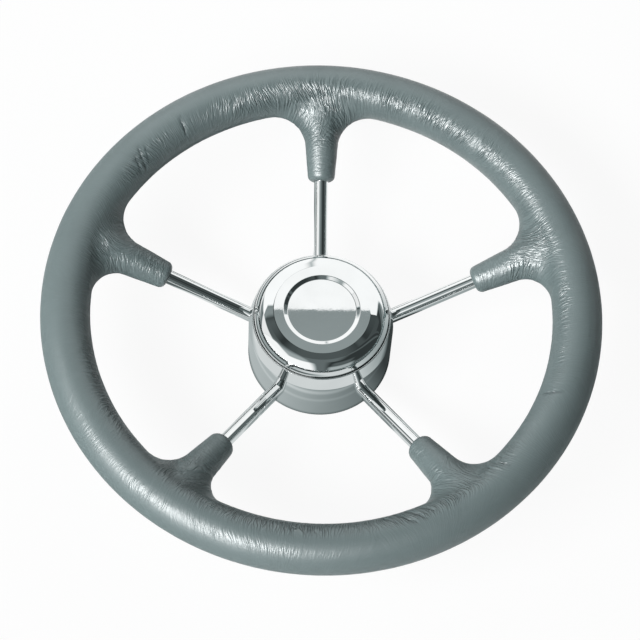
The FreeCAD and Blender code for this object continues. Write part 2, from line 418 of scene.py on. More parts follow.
def rod_points(radius, start, end, sides):
    """Points and faces of a closed round rod between two points."""
    start, end = Vector(start), Vector(end)
    turn = (end - start).to_track_quat("Z", "Y")
    points, faces = [], []
    for centre in (start, end):
        for side in range(sides):
            angle = 2 * math.pi * side / sides
            offset = Vector((math.cos(angle), math.sin(angle), 0)) * radius
            points.append(centre + turn @ offset)
    for side in range(sides):
        beside = (side + 1) % sides
        faces.append([side, beside, sides + beside, sides + side])
    faces.append(list(reversed(range(sides))))
    faces.append(list(range(sides, 2 * sides)))
    return points, faces


def spoke_place(distance, angle):
    """Point of a spoke's axis at a distance from the wheel's axis."""
    height = RIM_HEIGHT - (RIM_RADIUS - distance) * math.tan(SPOKE_SLOPE)
    return Vector((distance * math.cos(angle), distance * math.sin(angle), height))


def spoke_angle(number):
    """Direction of a spoke, counted from 1."""
    return FIRST_SPOKE_ANGLE + SHARE * (number - 1)


def closed_grip_mesh():
    """Grip's solid with the channels of the frame filled in, as one rough mesh."""
    work = bmesh.new()
    work.from_mesh(frame["nodes"]["grip"].data)
    circle = []
    for side in range(CORE_PLUG_SIDES):
        angle = 2 * math.pi * side / CORE_PLUG_SIDES
        out, up = CORE_PLUG_RADIUS * math.cos(angle), CORE_PLUG_RADIUS * math.sin(angle)
        circle.append((RIM_RADIUS + out, RIM_HEIGHT + up, 0))
    plug = turned_mesh("core_plug", circle, CORE_PLUG_STEPS)
    work.from_mesh(plug)
    bpy.data.meshes.remove(plug)
    for number in range(1, SPOKE_COUNT + 1):
        angle = spoke_angle(number)
        start, end = spoke_place(SLEEVE_END_DISTANCE, angle), spoke_place(RIM_RADIUS, angle)
        points, faces = rod_points(ROD_PLUG_RADIUS, start, end, ROD_PLUG_SIDES)
        plug = mesh_from("rod_plug", points, faces)
        work.from_mesh(plug)
        bpy.data.meshes.remove(plug)
    mesh = bpy.data.meshes.new("grip_skin")
    work.to_mesh(mesh)
    work.free()
    return mesh


def remeshed(mesh, facet):
    """Mesh of even faces over the same solid."""
    holder = bpy.data.objects.new("remesh_holder", mesh)
    bpy.context.scene.collection.objects.link(holder)
    remesh = holder.modifiers.new("even faces", "REMESH")
    remesh.mode = "VOXEL"
    remesh.voxel_size = facet
    graph = bpy.context.evaluated_depsgraph_get()
    result = bpy.data.meshes.new_from_object(holder.evaluated_get(graph))
    bpy.data.objects.remove(holder)
    bpy.data.meshes.remove(mesh)
    return result


def coordinates(mesh):
    """Vertex places of a mesh as an array."""
    flat = np.empty(len(mesh.vertices) * 3)
    mesh.vertices.foreach_get("co", flat)
    return flat.reshape(-1, 3)


def set_coordinates(mesh, points):
    """Puts an array of vertex places into a mesh."""
    mesh.vertices.foreach_set("co", points.ravel())
    mesh.update()


# Creases of the skin. On the rim they run across it, leaning a little to and fro. By the edges
# of the openings they stand square to the edge, fan out round the sleeves' roots and ring the
# sleeves.

EDGE_RADIUS = RIM_RADIUS - GRIP_RADIUS
EDGE_ANGLE = math.atan2((SLEEVE_ROOT_RADIUS - SLEEVE_END_RADIUS) * math.cos(SPOKE_SLOPE),
                        RIM_RADIUS - SLEEVE_END_DISTANCE)
EDGE_START = np.array((SLEEVE_END_DISTANCE, SLEEVE_END_RADIUS))
EDGE_WAY = np.array((math.cos(EDGE_ANGLE), math.sin(EDGE_ANGLE)))
EDGE_SIDE = np.array((math.sin(EDGE_ANGLE), -math.cos(EDGE_ANGLE)))


def fan_centre():
    """Centre of the rounded corner between sleeve and rim, in plan."""
    near = EDGE_START - EDGE_SIDE * SLEEVE_BLEND
    reach = EDGE_RADIUS - SLEEVE_BLEND
    half = near @ EDGE_WAY
    along = -half + math.sqrt(half * half - near @ near + reach * reach)
    return near + EDGE_WAY * along, along


FAN_CENTRE, STRAIGHT_EDGE = fan_centre()
FAN_START = math.atan2(EDGE_SIDE[1], EDGE_SIDE[0])
FAN_END = math.atan2(FAN_CENTRE[1], FAN_CENTRE[0])

# How far the lines lean and wander, over patches of which size
LEAN, LEAN_SIZE = 0.9, 38 * MM
RIM_WANDER, RIM_WANDER_SIZE = 0.9 * MM, 7 * MM
EDGE_WANDER, EDGE_WANDER_SIZE = 1.6 * MM, 11 * MM
# Where the edges' lines give way to the rim's: away from the edge, round the fan in radians,
# and along the sleeve from its end
EDGE_FADE = (4 * MM, 12 * MM)
FAN_FADE = 0.5
SLEEVE_FADE = (12 * MM, 30 * MM)
# Keep the creases of the five sleeves, and of a sleeve's two sides, from being the same
SPOKES_APART = 90 * MM
SIDES_APART = 0.25
# Offsets that keep one noise of the skin from looking like another
LEAN_NOISE, RIM_WANDER_NOISE, EDGE_WANDER_NOISE = 8.0, 3.1, 21.0
RIM_CREASE_NOISE, EDGE_CREASE_NOISE = 11.0, 17.0
PATCHY_NOISE, SWELL_NOISE = 33.0, 5.0
OFFSET_WAY = (1, 0.7, -0.4)


def eased(value, low, high):
    """0 below one value, 1 above another, and a smooth rise between them."""
    share = np.clip((value - low) / (high - low), 0, 1)
    return share * share * (3 - 2 * share)


def section_angle(points):
    """Angle round the rim's section: 0 outwards, a quarter turn on top, a half turn inwards."""
    away = np.hypot(points[:, 0], points[:, 1]) - RIM_RADIUS
    angle = np.arctan2(points[:, 2] - RIM_HEIGHT, away)
    return np.where(angle < -math.pi / 2, angle + 2 * math.pi, angle)


def rim_lines(points):
    """Places in a space where the rim's creases are straight and upright."""
    plan = np.hypot(points[:, 0], points[:, 1])
    across = GRIP_RADIUS * (section_angle(points) - CREASE_MIDDLE) + np.maximum(0, EDGE_RADIUS - plan)
    lean = noise_at(points * (1, 1, 0) / LEAN_SIZE, LEAN_NOISE) * LEAN * across
    wander = noise_at(points / RIM_WANDER_SIZE, RIM_WANDER_NOISE) * RIM_WANDER
    turn = np.arctan2(points[:, 1], points[:, 0]) + (lean + wander) / RIM_RADIUS
    return np.stack([np.cos(turn) * RIM_RADIUS, np.sin(turn) * RIM_RADIUS, across], 1)


def edge_lines(points):
    """Places in a space where the creases by the openings are upright, and their share there."""
    spokes = nearest_spoke(points)
    local = turned_points(points, -spokes)
    plan = np.stack([local[:, 0], np.abs(local[:, 1])], 1)
    from_fan = plan - FAN_CENTRE
    direction = np.arctan2(from_fan[:, 1], from_fan[:, 0])
    from_start = plan - EDGE_START
    on_straight = from_start @ EDGE_WAY
    straight = (direction < FAN_START) | (on_straight < STRAIGHT_EDGE)
    rim = (direction > FAN_END) & ~straight
    length = np.where(straight, on_straight,
                      STRAIGHT_EDGE + SLEEVE_BLEND * (np.minimum(direction, FAN_END) - FAN_START))
    distance = np.where(straight, from_start @ EDGE_SIDE, np.linalg.norm(from_fan, axis=1) - SLEEVE_BLEND)
    by_edge = 1 - eased(distance, *EDGE_FADE)
    by_edge *= 1 - eased(direction, FAN_END - FAN_FADE, FAN_END)
    on_sleeve = 1 - eased(local[:, 0] - SLEEVE_END_DISTANCE, *SLEEVE_FADE)
    share = np.where(rim, 0, np.maximum(by_edge, on_sleeve))
    wander = noise_at(points / EDGE_WANDER_SIZE, EDGE_WANDER_NOISE) * EDGE_WANDER
    apart = local[:, 1] * SIDES_APART + spokes * SPOKES_APART
    return np.stack([length + wander, distance, apart], 1), share


# Where the skin is creased most: wheel angle and section angle in degrees, reach round the
# wheel and round the section in degrees, and strength
CREASED_PATCHES = [
    (60, 128, 38, 22, 0.9),
    (96, 130, 18, 32, 1.0),
    (110, 118, 8, 20, 0.8),
    (139, 124, 8, 20, 0.75),
    (20, 150, 12, 34, 0.75),
    (2, 128, 10, 16, 0.55),
    (166, 160, 9, 30, 0.75),
    (238, 58, 30, 15, 0.3),
    (204, 143, 18, 22, 0.9),
    (259, 124, 24, 21, 1.0),
    (240, 150, 14, 30, 0.65),
    (297, 120, 15, 18, 0.85),
    (311, 132, 9, 26, 0.9),
    (340, 124, 14, 14, 0.4),
]
# Strength of the creases at the root of each spoke's sleeve, from the first spoke on
ROOT_CREASING = [0.9, 0.6, 0.85, 0.5, 0.8]
# Where a root's creases fade: to the sides, and outwards over the rim. Along the sleeve they
# lose a share between two distances from its end.
ROOT_SIDE_FADE = (14 * MM, 28 * MM)
ROOT_RIM_FADE = (EDGE_RADIUS, EDGE_RADIUS + 8 * MM)
ROOT_SLEEVE_FADE = (14 * MM, 26 * MM)
ROOT_SLEEVE_LOSS = 0.7
# Creasing elsewhere, and what the rim's inner half has on top of it, between two section angles
PLAIN_CREASING = 0.10
INNER_CREASING = 0.14
INNER_RISE = (92, 125)
PATCH_FALL = 1.5
PATCHY_MIDDLE, PATCHY_SWING, PATCHY_SIZE = 0.85, 0.5, 13 * MM
SLEEVE_END_FADE = 4 * MM
CREASE_MIDDLE = math.radians(128)
CREASE_SPACING = 2.9 * MM
FINE_CREASE_SPACING = 1.7 * MM
CREASE_STRETCH = 6.5
CREASE_SHARPNESS = 2.6


def creasing(points):
    """Strength of the creases at each point, from 0 to 1."""
    plan = np.hypot(points[:, 0], points[:, 1])
    wheel = np.degrees(np.arctan2(points[:, 1], points[:, 0]))
    section = np.degrees(section_angle(points))
    strength = PLAIN_CREASING + INNER_CREASING * eased(section, *INNER_RISE)
    for degrees, middle, along, across, amount in CREASED_PATCHES:
        turn = (wheel - degrees + 180) % 360 - 180
        far = (turn / along) ** 2 + ((section - middle) / across) ** 2
        strength = np.maximum(strength, amount * np.exp(-0.5 * far ** PATCH_FALL))
    spokes = nearest_spoke(points)
    numbers = np.round((spokes - FIRST_SPOKE_ANGLE) / SHARE).astype(int) % SPOKE_COUNT
    from_end = plan - SLEEVE_END_DISTANCE
    aside = np.abs(turned_points(points, -spokes)[:, 1])
    root = np.array(ROOT_CREASING)[numbers]
    root *= (1 - eased(aside, *ROOT_SIDE_FADE)) * (1 - eased(plan, *ROOT_RIM_FADE))
    root *= 1 - ROOT_SLEEVE_LOSS * (1 - eased(from_end, *ROOT_SLEEVE_FADE))
    patchy = PATCHY_MIDDLE + PATCHY_SWING * noise_at(points / PATCHY_SIZE, PATCHY_NOISE)
    strength = np.maximum(strength, root) * patchy
    return strength * eased(from_end, -SLEEVE_END_FADE, SLEEVE_END_FADE)


def noise_at(points, offset):
    """Smooth noise, from -1 to 1, at each of an array of places."""
    shift = Vector([offset * part for part in OFFSET_WAY])
    return np.array([noise.noise(Vector(point) + shift) for point in points])


def crease_height(on_rim, by_edge, share):
    """Height of the creased skin, from -1 at the bottom of a crease to 0."""
    stretch = np.array((1, 1, 1 / CREASE_STRETCH)) / CREASE_SPACING
    rim = np.minimum(1, CREASE_SHARPNESS * np.abs(noise_at(on_rim * stretch, RIM_CREASE_NOISE)))
    stretch = np.array((1, 1 / CREASE_STRETCH, 1)) / CREASE_SPACING
    edge = np.minimum(1, CREASE_SHARPNESS * np.abs(noise_at(by_edge * stretch, EDGE_CREASE_NOISE)))
    return rim * (1 - share) + edge * share - 1


# Single creases: wheel angle and section angle at both ends in degrees, depth and width in
# millimetres
SINGLE_CREASES = [
    ((126.8, 160), (125.3, 90), 0.55, 1.2),
    ((140.3, 160), (137.8, 88), 0.55, 1.2),
    ((142.2, 156), (139.8, 100), 0.40, 1.1),
    ((138.6, 146), (136.6, 102), 0.40, 1.0),
    ((137.6, 128), (141.6, 112), 0.32, 1.0),
    ((-24.0, 144), (-22.5, 90), 0.55, 1.3),
    ((-76.5, 148), (-73.0, 108), 0.55, 1.2),
    ((-73.5, 156), (-69.0, 94), 1.00, 1.5),
    ((-70.5, 152), (-66.5, 96), 0.90, 1.3),
    ((-67.5, 150), (-64.0, 106), 0.60, 1.2),
    ((-45.0, 132), (-44.0, 94), 0.45, 1.2),
]
SINGLE_CREASE_STEPS = 40
SINGLE_CREASE_BEND = 0.2
# Steps through the bends' noise: along one crease, from each crease to the next, and aside
BENDS_IN_ONE, BENDS_APART, BEND_OFFSET = 3, 5.3, 0.4
SINGLE_CREASE_REACH = 30 * MM
SINGLE_CREASE_TAPER = 0.6
SINGLE_CREASE_SPREAD = 0.55


def rim_place(wheel_degrees, section_degrees):
    """Point on the rim's surface. Section angles turn from outwards over the top to inwards."""
    angle, section = math.radians(wheel_degrees), math.radians(section_degrees)
    plan = RIM_RADIUS + GRIP_RADIUS * math.cos(section)
    return np.array((plan * math.cos(angle), plan * math.sin(angle),
                     RIM_HEIGHT + GRIP_RADIUS * math.sin(section)))


def single_crease_lines():
    """Bent lines of the single creases, with their depth and width."""
    lines = []
    for number, (start, end, depth, width) in enumerate(SINGLE_CREASES):
        line = []
        for step in range(SINGLE_CREASE_STEPS + 1):
            share = step / SINGLE_CREASE_STEPS
            spot = Vector((share * BENDS_IN_ONE, number * BENDS_APART, BEND_OFFSET))
            bend = SINGLE_CREASE_BEND * noise.noise(spot)
            wheel = start[0] + (end[0] - start[0]) * share + bend
            line.append(rim_place(wheel, start[1] + (end[1] - start[1]) * share))
        lines.append((np.array(line), depth * MM, width * MM))
    return lines


def single_crease_height(points, lines):
    """Depth of the single creases at each point, as a height below the skin."""
    height = np.zeros(len(points))
    for line, depth, width in lines:
        near = np.flatnonzero(np.linalg.norm(points - line.mean(0), axis=1) < SINGLE_CREASE_REACH)
        gaps = np.linalg.norm(points[near, None] - line[None], axis=2)
        nearest = gaps.argmin(1)
        gap = gaps.min(1)
        taper = np.sin(math.pi * (nearest + 0.5) / len(line)) ** SINGLE_CREASE_TAPER
        height[near] -= depth * taper * np.exp(-(gap / (SINGLE_CREASE_SPREAD * width)) ** 2)
    return height


def refine(mesh, wanted):
    """Splits each face whose corners are wanted into four."""
    work = bmesh.new()
    work.from_mesh(mesh)
    work.verts.ensure_lookup_table()
    edges = set()
    for face in work.faces:
        if all(wanted[corner.index] for corner in face.verts):
            edges.update(face.edges)
    bmesh.ops.subdivide_edges(work, edges=list(edges), cuts=1, use_grid_fill=True)
    work.to_mesh(mesh)
    work.free()


def store(mesh, name, values):
    """Keeps a number or a vector per vertex under a name that a material can read."""
    values = np.asarray(values, np.float32)
    if values.ndim == 1:
        mesh.attributes.new(name, "FLOAT", "POINT").data.foreach_set("value", values)
    else:
        mesh.attributes.new(name, "FLOAT_VECTOR", "POINT").data.foreach_set("vector", values.ravel())


# Where the skin's faces are made finer: above a strength of the creases, apart from the
# underside, and twice by the single creases, from two depths on
FINER_CREASING = 0.6
FINER_FROM = RIM_HEIGHT - 8 * MM
FINER_SINGLES, FINEST_SINGLES = 0.01 * MM, 0.04 * MM
# Slow swell of the skin, and the depth at which a single crease gets its full painted shade
SWELL, SWELL_SIZE = 0.05 * MM, 9 * MM
FOLD_FULL_SHADE = 0.4 * MM


def grip_mesh(settings):
    """Dense skin of the grip with its creases."""
    mesh = remeshed(closed_grip_mesh(), settings.facet)
    points, _ = onto_skin(coordinates(mesh))
    lines = single_crease_lines()
    wanted = (creasing(points) > FINER_CREASING) & (points[:, 2] > FINER_FROM)
    wanted |= single_crease_height(points, lines) < -FINER_SINGLES
    set_coordinates(mesh, points)
    refine(mesh, wanted)
    points, _ = onto_skin(coordinates(mesh))
    wanted = single_crease_height(points, lines) < -FINEST_SINGLES
    set_coordinates(mesh, points)
    refine(mesh, wanted)
    points, away = onto_skin(coordinates(mesh))
    on_rim = rim_lines(points)
    by_edge, share = edge_lines(points)
    strength = creasing(points)
    folds = crease_height(on_rim, by_edge, share) * strength * settings.crease_depth
    singles = single_crease_height(points, lines)
    swell = (noise_at(points / SWELL_SIZE, SWELL_NOISE) - 1) * SWELL
    set_coordinates(mesh, points + away * (folds + singles + swell)[:, None])
    store(mesh, "rim_lines", on_rim)
    store(mesh, "edge_lines", by_edge)
    store(mesh, "edge_share", share)
    store(mesh, "creasing", strength)
    # Share of the painted shade in each single crease, which grows with its depth
    store(mesh, "fold_shade", np.clip(-singles / FOLD_FULL_SHADE, 0, 1))
    mesh.shade_smooth()
    return mesh


# Materials

POLISHED = "polished_steel_finish"

# In what follows a spread is the part of a noise's range that is used, and a tint is the share
# of the plain colour that the noise goes to

# Grey skin of the grip
SKIN_SHINE = 0.55
FINE_CREASE_SHARPNESS = 6.5
# Shares of painted shade at the bottoms of the fine creases and in the single creases
VALLEY_PAINTED_SHADE = 0.85
FOLD_PAINTED_SHADE = 0.9
CREASED_ROUGHNESS = (0.07, -0.02)
PATCH_SIZE = 26 * MM
PATCH_SPREAD, PATCH_DARKNESS = (0.35, 0.7), (-0.02, 0.16)
PATCH_ROUGH_SPREAD, PATCH_ROUGHNESS = (0.3, 0.7), (-0.03, 0.05)
GRAIN_SIZE = 1.0 * MM
GRAIN_SMOOTHNESS = 0.35
GRAIN_DEPTH = 0.022 * MM
PORE_SIZE = 0.5 * MM
CELL_SHARE, PORE_SHARE = -0.9, 0.5

# Polished steel
SMEAR_SIZE = 14 * MM
SMEAR_SPREAD, SMEAR_TINT = (0.35, 0.7), 0.955
SMEAR_ROUGH_SPREAD, SMEAR_ROUGHNESS = (0.35, 0.75), (-0.002, 0.005)
POLISH_MARK_SIZE = 1.8 * MM
POLISH_MARK_SQUEEZE = (1.0, 1.0, 9.0)
POLISH_MARK_SPREAD, POLISH_MARK_ROUGHNESS = (0.45, 0.8), (0, 0.006)
POLISH_MARK_DEPTH = 0.002 * MM

# Turned steel
TOOL_MARK_SIZE = 0.35 * MM
TOOL_MARK_DEPTH = 0.03 * MM
TURNED_SPREAD, TURNED_ROUGHNESS = (0.3, 0.7), (0.26, 0.38)
STAIN_SIZE = 9 * MM
STAIN_SPREAD, STAIN_TINT = (0.35, 0.7), 0.82

# Rubber
DUST_SIZE = 2.5 * MM
DUST_SPREAD, DUST_TINT = (0.4, 0.75), 1.9
RUBBER_SPREAD, RUBBER_ROUGHNESS = (0.3, 0.8), (0.5, 0.75)
RUBBER_DEPTH = 0.03 * MM


def new_material(name):
    """Material with an empty node tree, and its Principled shader."""
    material = bpy.data.materials.new(name)
    material.use_nodes = True
    tree = material.node_tree
    tree.nodes.clear()
    output = tree.nodes.new("ShaderNodeOutputMaterial")
    shader = tree.nodes.new("ShaderNodeBsdfPrincipled")
    tree.links.new(shader.outputs["BSDF"], output.inputs["Surface"])
    return material, tree, shader


def add_node(tree, kind, links=(), values=(), **settings):
    """Node with its settings, its linked inputs and its plain input values."""
    node = tree.nodes.new(kind)
    for key, value in settings.items():
        setattr(node, key, value)
    for key, value in dict(values).items():
        node.inputs[key].default_value = value
    for key, socket in dict(links).items():
        tree.links.new(socket, node.inputs[key])
    return node


def maths(tree, operation, first, second=0.0):
    """Math node's output for sockets or numbers."""
    node = tree.nodes.new("ShaderNodeMath")
    node.operation = operation
    for index, value in enumerate((first, second)):
        if isinstance(value, (int, float)):
            node.inputs[index].default_value = value
        else:
            tree.links.new(value, node.inputs[index])
    return node.outputs[0]


def plus(tree, first, second):
    """Sum of two sockets or numbers."""
    return maths(tree, "ADD", first, second)


def times(tree, first, second):
    """Product of two sockets or numbers."""
    return maths(tree, "MULTIPLY", first, second)


def stored(tree, name, output="Fac"):
    """Output of what the mesh keeps for each vertex."""
    return add_node(tree, "ShaderNodeAttribute", attribute_name=name).outputs[output]


def place(tree):
    """Output of the place on the object, in metres."""
    return add_node(tree, "ShaderNodeTexCoord").outputs["Object"]


def parts_of(tree, vector):
    """The X, Y and Z outputs of a vector."""
    return add_node(tree, "ShaderNodeSeparateXYZ", {"Vector": vector}).outputs


def from_axis(tree, parts):
    """Distance from the wheel's axis."""
    return maths(tree, "SQRT", plus(tree, times(tree, parts["X"], parts["X"]),
                                    times(tree, parts["Y"], parts["Y"])))


def scaled_range(tree, value, low, high, new_low, new_high):
    """Value moved from one range to another and kept inside it."""
    node = add_node(tree, "ShaderNodeMapRange", {"Value": value}, {
        "From Min": low, "From Max": high, "To Min": new_low, "To Max": new_high})
    return node.outputs["Result"]


def ramp(tree, value, start, end):
    """Socket that goes smoothly from 0 at one value to 1 at another."""
    return add_node(tree, "ShaderNodeMapRange", {"Value": value}, {
        "From Min": start, "From Max": end}, interpolation_type="SMOOTHSTEP").outputs["Result"]


def window(tree, value, low, high, softness):
    """Socket that is 1 between two values, with soft ends."""
    return times(tree, ramp(tree, value, low - softness, low + softness),
                 ramp(tree, value, high + softness, high - softness))


def speckle(tree, vector, size, detail, roughness=0.5):
    """Soft noise from 0 to 1, in patches of about a size."""
    return add_node(tree, "ShaderNodeTexNoise", {"Vector": vector}, {
        "Scale": 1 / size, "Detail": detail, "Roughness": roughness}).outputs["Fac"]


def stretched(tree, vector, scale):
    """Vector scaled along each axis."""
    return add_node(tree, "ShaderNodeMapping", {"Vector": vector}, {"Scale": scale}).outputs["Vector"]


def between(tree, factor, first, second):
    """Colour between two plain ones."""
    node = add_node(tree, "ShaderNodeMix", {"Factor": factor}, data_type="RGBA")
    node.inputs["A"].default_value = (*first, 1)
    node.inputs["B"].default_value = (*second, 1)
    return node.outputs["Result"]


def scaled_colour(colour, share):
    """Colour made darker or lighter by one share."""
    return tuple(share * part for part in colour)


def bumped(tree, height, strength, depth, normal=None):
    """Surface direction bent by a height."""
    links = {"Height": height}
    if normal is not None:
        links["Normal"] = normal
    node = add_node(tree, "ShaderNodeBump", links, {"Strength": strength, "Distance": depth})
    return node.outputs["Normal"]


def dress(tree, shader, colour, roughness, normal):
    """Links the colour, roughness and bump of a finish to its shader."""
    tree.links.new(colour, shader.inputs["Base Color"])
    tree.links.new(roughness, shader.inputs["Roughness"])
    tree.links.new(normal, shader.inputs["Normal"])


def creased_noise(tree, lines, stretch):
    """Soft cushions with narrow valleys between them, drawn out along the crease lines."""
    vector = stretched(tree, stored(tree, lines, "Vector"), [part / FINE_CREASE_SPACING for part in stretch])
    value = speckle(tree, vector, size=1, detail=1.5)
    puff = maths(tree, "ABSOLUTE", maths(tree, "SUBTRACT", value, 0.5))
    return maths(tree, "MINIMUM", times(tree, puff, FINE_CREASE_SHARPNESS), 1.0)


def fine_crease_socket(tree):
    """Height of fine creases that follow the same lines as the folds in the mesh."""
    on_rim = creased_noise(tree, "rim_lines", (1, 1, 1 / CREASE_STRETCH))
    by_edge = creased_noise(tree, "edge_lines", (1, 1 / CREASE_STRETCH, 1))
    return add_node(tree, "ShaderNodeMix", {
        "Factor": stored(tree, "edge_share"), "A": on_rim, "B": by_edge}, data_type="FLOAT").outputs["Result"]


def grip_material(settings):
    """Grey soft skin with leather grain, fine creases with painted shade in them, and a low sheen."""
    material, tree, shader = new_material("grey_grip_skin")
    shader.inputs["Specular IOR Level"].default_value = SKIN_SHINE
    where = place(tree)
    strength = stored(tree, "creasing")
    creases = fine_crease_socket(tree)
    patches = speckle(tree, where, PATCH_SIZE, detail=4, roughness=0.6)
    valley = times(tree, maths(tree, "SUBTRACT", 1.0, creases), strength)
    # Painted shade in the creases' valleys and in the single creases, plus random darker patches of the skin
    dark = plus(tree, times(tree, valley, VALLEY_PAINTED_SHADE),
                times(tree, stored(tree, "fold_shade"), FOLD_PAINTED_SHADE))
    dark = plus(tree, dark, scaled_range(tree, patches, *PATCH_SPREAD, *PATCH_DARKNESS))
    colour = between(tree, dark, settings.colour, settings.crease_shade_colour)
    rough = plus(tree, scaled_range(tree, patches, *PATCH_ROUGH_SPREAD, *PATCH_ROUGHNESS), settings.roughness)
    rough = plus(tree, rough, scaled_range(tree, strength, 0, 1, *CREASED_ROUGHNESS))
    cells = add_node(tree, "ShaderNodeTexVoronoi", {"Vector": where}, {
        "Scale": 1 / GRAIN_SIZE, "Smoothness": GRAIN_SMOOTHNESS, "Randomness": 1.0}, feature="SMOOTH_F1")
    pores = speckle(tree, where, PORE_SIZE, detail=2)
    pebbles = plus(tree, times(tree, cells.outputs["Distance"], CELL_SHARE), times(tree, pores, PORE_SHARE))
    creased = bumped(tree, times(tree, creases, strength), 1.0, settings.fine_depth)
    dress(tree, shader, colour, rough, bumped(tree, pebbles, 1.0, GRAIN_DEPTH, creased))
    return material


def polished_material(settings):
    """Mirror-polished stainless steel with faint polishing marks."""
    material, tree, shader = new_material(POLISHED)
    shader.inputs["Metallic"].default_value = 1.0
    where = place(tree)
    smears = speckle(tree, where, SMEAR_SIZE, detail=3)
    marks = speckle(tree, stretched(tree, where, POLISH_MARK_SQUEEZE), POLISH_MARK_SIZE, detail=3)
    colour = between(tree, scaled_range(tree, smears, *SMEAR_SPREAD, 0, 1),
                     settings.colour, scaled_colour(settings.colour, SMEAR_TINT))
    rough = plus(tree, scaled_range(tree, smears, *SMEAR_ROUGH_SPREAD, *SMEAR_ROUGHNESS), settings.roughness)
    rough = plus(tree, rough, scaled_range(tree, marks, *POLISH_MARK_SPREAD, *POLISH_MARK_ROUGHNESS))
    normal = bumped(tree, marks, strength=0.25, depth=POLISH_MARK_DEPTH)
    dress(tree, shader, colour, rough, normal)
    return material


def turned_material(settings):
    """Plain turned steel with fine tool marks round the wheel's axis."""
    material, tree, shader = new_material("turned_steel_finish")
    shader.inputs["Metallic"].default_value = 1.0
    where = place(tree)
    parts = parts_of(tree, where)
    vector = add_node(tree, "ShaderNodeCombineXYZ", {
        "X": times(tree, from_axis(tree, parts), 1 / TOOL_MARK_SIZE),
        "Y": times(tree, parts["Z"], 1 / TOOL_MARK_SIZE)}).outputs["Vector"]
    marks = speckle(tree, vector, size=1, detail=3)
    stains = speckle(tree, where, STAIN_SIZE, detail=4)
    colour = between(tree, scaled_range(tree, stains, *STAIN_SPREAD, 0, 1),
                     settings.turned_colour, scaled_colour(settings.turned_colour, STAIN_TINT))
    rough = scaled_range(tree, marks, *TURNED_SPREAD, *TURNED_ROUGHNESS)
    dress(tree, shader, colour, rough, bumped(tree, marks, strength=0.6, depth=TOOL_MARK_DEPTH))
    return material


def rubber_material(settings):
    """Black rubber of the cap's ring."""
    material, tree, shader = new_material("black_ring_rubber")
    dust = speckle(tree, place(tree), DUST_SIZE, detail=4)
    colour = between(tree, scaled_range(tree, dust, *DUST_SPREAD, 0, 1),
                     settings.ring_colour, scaled_colour(settings.ring_colour, DUST_TINT))
    rough = scaled_range(tree, dust, *RUBBER_SPREAD, *RUBBER_ROUGHNESS)
    dress(tree, shader, colour, rough, bumped(tree, dust, strength=0.4, depth=RUBBER_DEPTH))
    return material


def shared_polish(settings):
    """Polished finish that the rods, the drum and the cap share, made once."""
    return bpy.data.materials.get(POLISHED) or polished_material(settings)


# Operators

MOST_TRIANGLES = 200000
ROD_SIDES = 72
ROD_EDGE_ANGLE = math.radians(40)


class WHEEL_OT_grip(bpy.types.Operator):
    """Build the soft grip: rim and sleeves in one skin"""
    bl_idname = "wheel.grip"
    bl_label = "Grip"

    def execute(self, context):
        settings = context.scene.wheel_grip
        mesh = grip_mesh(settings)
        if sum(len(face.vertices) - 2 for face in mesh.polygons) > MOST_TRIANGLES:
            raise RuntimeError("the grip has too many triangles: use a larger facet")
        add_piece("grip_skin", mesh, grip_material(settings), "grip", "grip")
        return {"FINISHED"}


class WHEEL_OT_spokes(bpy.types.Operator):
    """Build the five polished rods"""
    bl_idname = "wheel.spokes"
    bl_label = "Spokes"

    def execute(self, context):
        material = shared_polish(context.scene.wheel_steel)
        for number in range(1, SPOKE_COUNT + 1):
            angle = spoke_angle(number)
            start = spoke_place(SPOKE_INNER_END, angle)
            end = spoke_place(RIM_RADIUS - CORE_RADIUS, angle)
            points, faces = rod_points(SPOKE_RADIUS, start, end, ROD_SIDES)
            name = "rod_" + str(number)
            mesh = mesh_from(name, points, faces, ROD_EDGE_ANGLE)
            add_piece(name, mesh, material, "polished_steel", "spoke_" + str(number))
        return {"FINISHED"}


class WHEEL_OT_drum(bpy.types.Operator):
    """Build the hub's drum"""
    bl_idname = "wheel.drum"
    bl_label = "Drum"

    def execute(self, context):
        hub = context.scene.wheel_hub
        mouth = CAP_RADIUS + CAP_CLEARANCE
        lip = mouth + LIP_WIDTH
        wall = DRUM_RADIUS - DRUM_WALL
        ledge = mouth - LEDGE_WIDTH
        ledge_foot = LEDGE_HEIGHT - LEDGE_THICKNESS
        corners = [
            (wall, 0, 0),
            (DRUM_RADIUS, 0, DRUM_FOOT_ROUNDING),
            (DRUM_RADIUS, hub.wall_height, DRUM_BAND_ROUNDING),
            (lip, DRUM_HEIGHT, LIP_ROUNDING),
            (mouth, DRUM_HEIGHT, LIP_ROUNDING),
            (mouth, LEDGE_HEIGHT, 0),
            (ledge, LEDGE_HEIGHT, 0),
            (ledge, ledge_foot, 0),
            (wall, ledge_foot - (wall - ledge), 0),
        ]
        mesh = turned_mesh("drum_shell", corners, hub.steps)
        material = shared_polish(context.scene.wheel_steel)
        add_piece("drum_shell", mesh, material, "polished_steel", "hub_drum")
        return {"FINISHED"}


